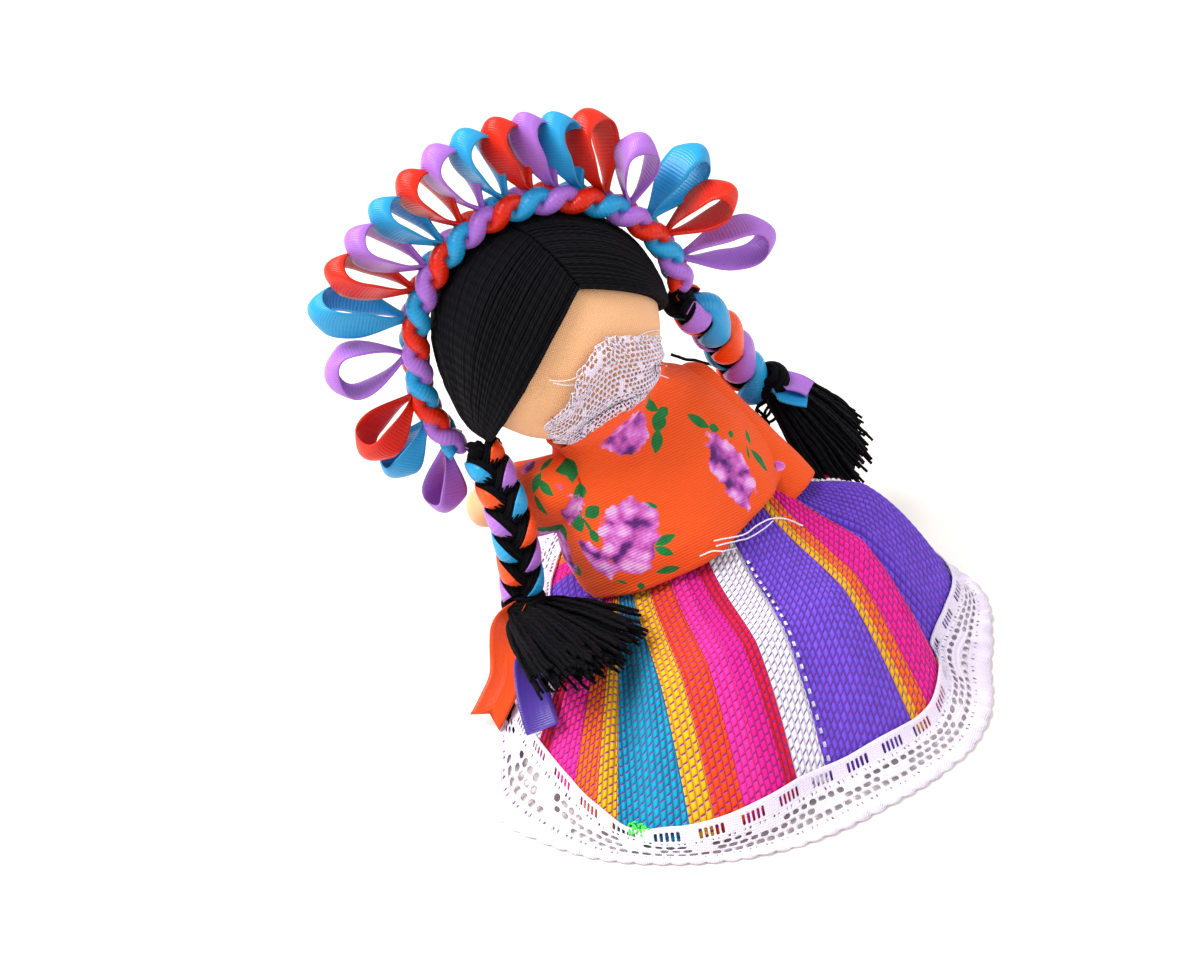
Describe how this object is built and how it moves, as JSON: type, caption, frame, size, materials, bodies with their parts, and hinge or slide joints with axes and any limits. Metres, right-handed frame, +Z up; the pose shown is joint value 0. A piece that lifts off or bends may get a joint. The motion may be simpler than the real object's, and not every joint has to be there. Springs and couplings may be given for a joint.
{
  "type": "rag doll",
  "caption": "Seated cloth doll that leans back in a wide striped skirt, with yarn plaits and a plaited crown of ribbon loops round its head.",
  "frame": {"origin": "centre of the flat seat under the hips, on the surface that the doll sits on", "axes": "+Z up from that surface, -Y the way the doll faces, +X towards its left hand"},
  "size_m": [0.111, 0.0985, 0.102],
  "materials": {
    "skin_cotton": "plain woven cotton over stuffing, matt",
    "black_yarn": "fine acrylic yarn, soft sheen",
    "rose_print_cotton": "thin cotton poplin printed with roses and leaves",
    "striped_weave": "thick hand-woven acrylic cloth in many stripes",
    "white_lace": "machine-made nylon lace, slightly glossy threads",
    "lilac_satin": "satin ribbon, glossy, fine cross ribs",
    "red_satin": "satin ribbon, glossy, fine cross ribs",
    "blue_satin": "satin ribbon, glossy, fine cross ribs",
    "orange_satin": "satin ribbon, glossy, fine cross ribs",
    "purple_satin": "satin ribbon, glossy, fine cross ribs"
  },
  "bodies": {
    "torso": {"torso": "skin_cotton", "blouse": "rose_print_cotton", "skirt": "striped_weave", "hem_lace": "white_lace", "lace_collar": "white_lace"},
    "head": {"head": "skin_cotton", "hair_right": "black_yarn", "hair_left": "black_yarn", "crown_ribbon_lilac": "lilac_satin", "crown_ribbon_red": "red_satin", "crown_ribbon_blue": "blue_satin", "ribbon_loop_01": "lilac_satin", "ribbon_loop_02": "red_satin", "ribbon_loop_03": "blue_satin", "ribbon_loop_04": "lilac_satin", "ribbon_loop_05": "red_satin", "ribbon_loop_06": "blue_satin", "ribbon_loop_07": "lilac_satin", "ribbon_loop_08": "red_satin", "ribbon_loop_09": "blue_satin", "ribbon_loop_10": "lilac_satin", "ribbon_loop_11": "red_satin", "ribbon_loop_12": "blue_satin", "ribbon_loop_13": "lilac_satin", "ribbon_loop_14": "red_satin", "ribbon_loop_15": "blue_satin", "ribbon_loop_16": "lilac_satin", "ribbon_loop_17": "red_satin", "ribbon_loop_18": "blue_satin", "ribbon_loop_19": "lilac_satin"},
    "plait_right": {"plait_right_strand_1": "black_yarn", "plait_right_strand_2": "black_yarn", "plait_right_strand_3": "black_yarn", "plait_right_tie": "black_yarn", "plait_right_tassel": "black_yarn", "ribbon_tail_orange": "orange_satin", "ribbon_tail_purple": "purple_satin"},
    "plait_left": {"plait_left_strand_1": "black_yarn", "plait_left_strand_2": "black_yarn", "plait_left_strand_3": "black_yarn", "plait_left_tie": "black_yarn", "plait_left_tassel": "black_yarn", "ribbon_tail_blue": "blue_satin", "ribbon_tail_lilac": "lilac_satin"},
    "arm_right": {"arm_right": "skin_cotton", "sleeve_right": "rose_print_cotton"},
    "arm_left": {"arm_left": "skin_cotton", "sleeve_left": "rose_print_cotton"},
    "leg_right": {"leg_right": "skin_cotton"},
    "leg_left": {"leg_left": "skin_cotton"}
  },
  "joints": [
    {"name": "head_nod", "type": "hinge", "parent": "torso", "child": "head", "pos_m": [-0.0158, 0.0208, 0.062], "axis": [-0.9749, -0.034, -0.22], "range_deg": [0, 10]},
    {"name": "plait_right_swing", "type": "hinge", "parent": "head", "child": "plait_right", "pos_m": [-0.0315, 0.0205, 0.0435], "axis": [0, 1, 0], "range_deg": [0, 30]},
    {"name": "plait_left_swing", "type": "hinge", "parent": "head", "child": "plait_left", "pos_m": [0.0064, 0.0116, 0.0635], "axis": [0, -1, 0], "range_deg": [0, 30]},
    {"name": "shoulder_right", "type": "hinge", "parent": "torso", "child": "arm_right", "pos_m": [-0.02092, 0.01124, 0.03608], "axis": [0.9401, 0.3336, 0.0708], "range_deg": [0, 22]},
    {"name": "shoulder_left", "type": "hinge", "parent": "torso", "child": "arm_left", "pos_m": [0.01131, 0.0145, 0.04009], "axis": [-0.4602, -0.7403, 0.4902], "range_deg": [0, 15]},
    {"name": "hip_right", "type": "hinge", "parent": "torso", "child": "leg_right", "pos_m": [-0.0065, -0.009, 0.00513], "axis": [1, 0, 0], "range_deg": [0, 35]},
    {"name": "hip_left", "type": "hinge", "parent": "torso", "child": "leg_left", "pos_m": [0.0065, -0.009, 0.00513], "axis": [1, 0, 0], "range_deg": [0, 35]}
  ]
}
